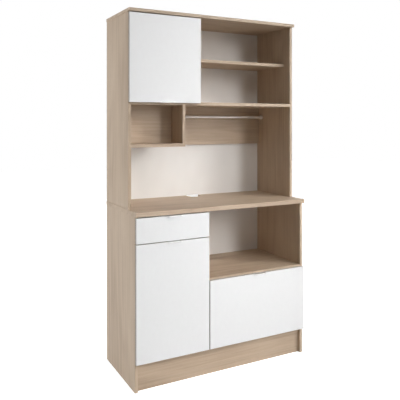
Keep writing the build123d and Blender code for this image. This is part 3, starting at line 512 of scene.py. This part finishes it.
def seen_directly(tree):
    """1 where a ray comes from the camera or by way of gloss or glass, and 0 elsewhere."""
    path = add(tree, "LightPath")
    camera_ray = path.outputs["Is Camera Ray"]
    direct = math_step(tree, "MAXIMUM", camera_ray, path.outputs["Is Glossy Ray"])
    return math_step(tree, "MAXIMUM", direct, path.outputs["Is Transmission Ray"])


floor_material, floor_tree, floor_shader = new_finish("pale_floor", roughness=0.9)
floor_shader.inputs["Base Color"].default_value = (*FLOOR_GREY, 1.0)
floor_shader.inputs["Specular IOR Level"].default_value = 0.0
from_middle = add(floor_tree, "VectorMath", operation="LENGTH")
join(floor_tree, stretched(floor_tree), from_middle.inputs[0])
fade = add(floor_tree, "MapRange", from_min=GLOW_RISES_FROM, from_max=GLOW_FULL_FROM,
           to_min=GLOW_AT_FEET, to_max=1.0)
join(floor_tree, from_middle.outputs["Value"], fade.inputs["Value"])
glow = add(floor_tree, "Emission")
glow.inputs["Color"].default_value = (*WHITE, 1.0)
strength = math_step(floor_tree, "MULTIPLY", seen_directly(floor_tree), fade.outputs["Result"])
join(floor_tree, strength, glow.inputs["Strength"])
both = add(floor_tree, "AddShader")
join(floor_tree, floor_shader.outputs["BSDF"], both.inputs[0])
join(floor_tree, glow.outputs["Emission"], both.inputs[1])
join(floor_tree, both.outputs["Shader"], floor_tree.nodes["Material Output"].inputs["Surface"])
floor.data.materials.append(floor_material)
print("floor finish:", floor_material.name)

# %% [markdown]
# ## World
# The studio around the buffet is white to the camera and in gloss, by the same test as the floor.
# For every other ray it is nearly black: the lamps do the lighting, and a trace of even light
# keeps the deepest corners from going black.

# %% World
AMBIENT = 0.065

world = bpy.data.worlds.new("studio")
bpy.context.scene.world = world
world.use_nodes = True
sky = world.node_tree
sky_light = sky.nodes["Background"]
sky_light.inputs["Color"].default_value = (*WHITE, 1.0)
white_part = math_step(sky, "MULTIPLY", seen_directly(sky), 1.0 - AMBIENT)
join(sky, math_step(sky, "ADD", white_part, AMBIENT), sky_light.inputs["Strength"])
print("world ready, ambient", AMBIENT)

# %% [markdown]
# ## Lamps
# The shadows in the photograph tell where its light stood. The insides of the right walls are
# dark, the backs fade from left to right, and the left outer side is evenly bright: so there are
# large soft lamps in front on the right, at several heights, and one out on the left. The
# photograph grows a little darker towards the top, so some lamps have a narrow beam aimed low,
# and a small one close to the floor reaches the plinth under the fronts. A lamp behind, which the
# photograph can't show, lets the rear be looked at. Each lamp is placed the way a photographer
# would say it, seen from the height it shines at: so far round, so far up, so far away. The
# powers were fitted by comparing test pictures with the photograph, and then rounded. Only the
# lamps on the plinth and behind were set one by one.

# %% Soft lamps
BODY_MIDDLE = 0.9
UNDER_WORKTOP = 0.75
FLAP_MIDDLE = 0.3
ON_PLINTH = 0.08
NARROW = 32


def soft_lamp(name, aim, turn, rise, distance, size, power, spread=180):
    """A square area lamp that shines at a height on the upright line through the middle.

    It stands so many degrees to the right of the front, so many up, and so many metres away;
    spread is the full angle of its beam.
    """
    turn, rise = math.radians(turn), math.radians(rise)
    level = math.cos(rise)
    away = Vector((math.sin(turn) * level, -math.cos(turn) * level, math.sin(rise)))
    lamp = bpy.data.objects.new(name, bpy.data.lights.new(name, "AREA"))
    bpy.context.scene.collection.objects.link(lamp)
    lamp.data.shape = "SQUARE"
    lamp.data.size = size
    lamp.data.energy = power
    lamp.data.spread = math.radians(spread)
    lamp.location = Vector((0.0, 0.0, aim)) + distance * away
    lamp.rotation_mode = "QUATERNION"
    lamp.rotation_quaternion = (-away).to_track_quat("-Z", "Y")
    print(name, "at", tuple(round(v, 2) for v in lamp.location), "power", power)


soft_lamp("front_light", BODY_MIDDLE, turn=25, rise=20, distance=7.0, size=1.4, power=72)
soft_lamp("front_top_light", BODY_MIDDLE, turn=0, rise=40, distance=4.5, size=1.6, power=31.5)
soft_lamp("low_right_light", UNDER_WORKTOP, turn=40, rise=-3, distance=5.0, size=0.9, power=14.4)
soft_lamp("left_light", BODY_MIDDLE, turn=-110, rise=10, distance=4.5, size=1.6, power=80)
soft_lamp("right_base_light", UNDER_WORKTOP, turn=50, rise=28, distance=6.0,
          size=1.2, power=6.1, spread=NARROW)
soft_lamp("front_base_light", UNDER_WORKTOP, turn=25, rise=12, distance=6.0,
          size=1.2, power=1.8, spread=NARROW)
soft_lamp("front_low_light", FLAP_MIDDLE, turn=25, rise=28, distance=6.0,
          size=1.2, power=1.3, spread=NARROW)
soft_lamp("plinth_light", ON_PLINTH, turn=0, rise=0.64, distance=3.6,
          size=0.4, power=0.2, spread=40)
soft_lamp("rear_light", BODY_MIDDLE, turn=155.2, rise=16.5, distance=5.97, size=2.0, power=150)
bpy.context.scene.view_settings.view_transform = "Standard"
